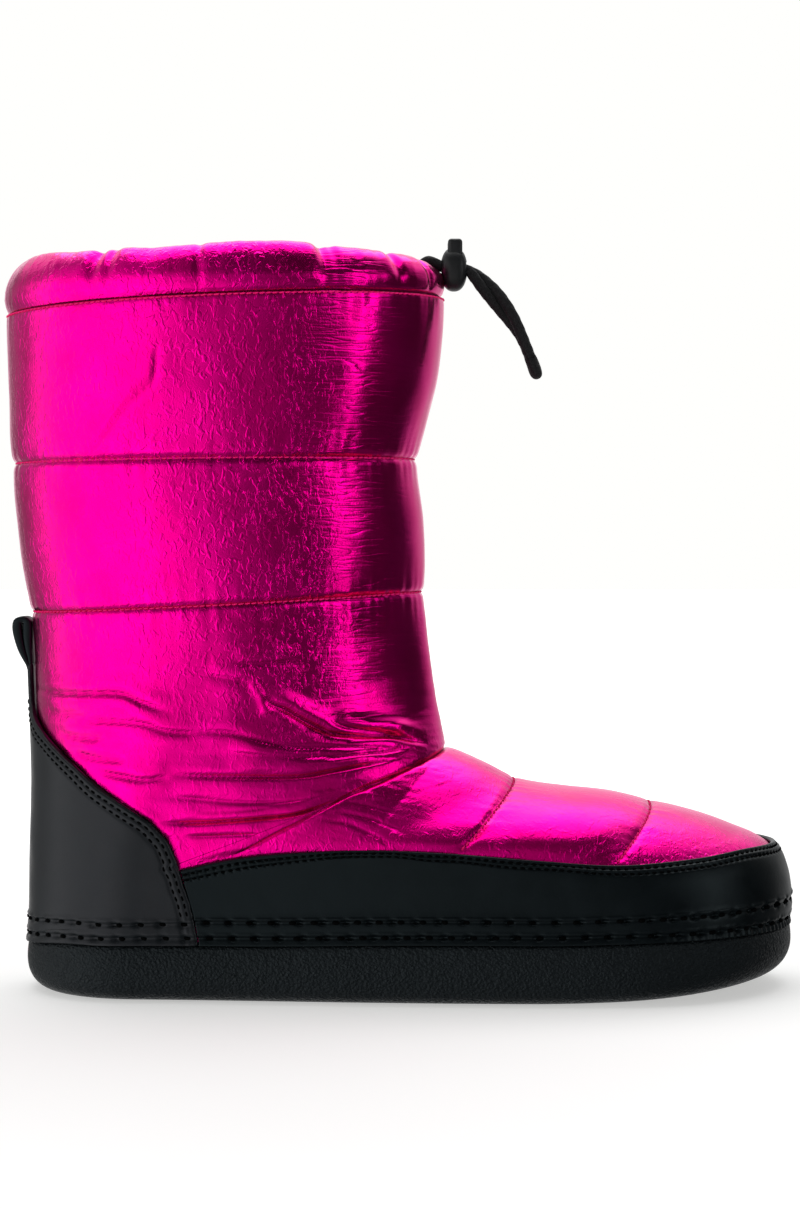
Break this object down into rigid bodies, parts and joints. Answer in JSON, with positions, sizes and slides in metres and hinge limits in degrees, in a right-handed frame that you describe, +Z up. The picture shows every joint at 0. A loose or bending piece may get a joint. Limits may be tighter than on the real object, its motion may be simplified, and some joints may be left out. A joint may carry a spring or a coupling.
{
  "type": "quilted snow boot",
  "caption": "Tall padded snow boot with quilted metallic upper, black leather mudguard and heel counter, rubber sole, pull loop and drawcord collar with a spring toggle.",
  "frame": {"origin": "on the floor under the middle of the boot's bounding box, cord and toggle left out", "axes": "+X towards the toe, +Y towards the inner side of the foot, +Z up"},
  "size_m": [0.2949, 0.1168, 0.2792],
  "materials": {
    "sole_rubber": "matte pebbled",
    "insole_felt": "felt",
    "pink_shell": "metallic coated, crinkled",
    "pink_casing": "metallic coated, gathered",
    "mudguard_leather": "smooth satin",
    "counter_leather": "smooth satin",
    "loop_leather": "satin",
    "cord_braid": "braided",
    "cord_tip": "sealed",
    "toggle_plastic": "satin",
    "button_plastic": "satin"
  },
  "bodies": {
    "boot": {"outsole": "sole_rubber", "insole": "insole_felt", "upper": "pink_shell", "collar_casing": "pink_casing", "mudguard": "mudguard_leather", "heel_counter": "counter_leather", "pull_loop": "loop_leather", "drawcord_lateral": "cord_braid", "drawcord_medial": "cord_braid", "drawcord_tip": "cord_tip", "toggle_barrel": "toggle_plastic"},
    "button": {"toggle_button": "button_plastic"}
  },
  "joints": [
    {"name": "toggle_press", "type": "slide", "parent": "boot", "child": "button", "axis": [0, 0, -1], "range_m": [0, 0.003], "stiffness_N_per_m": 1000}
  ]
}
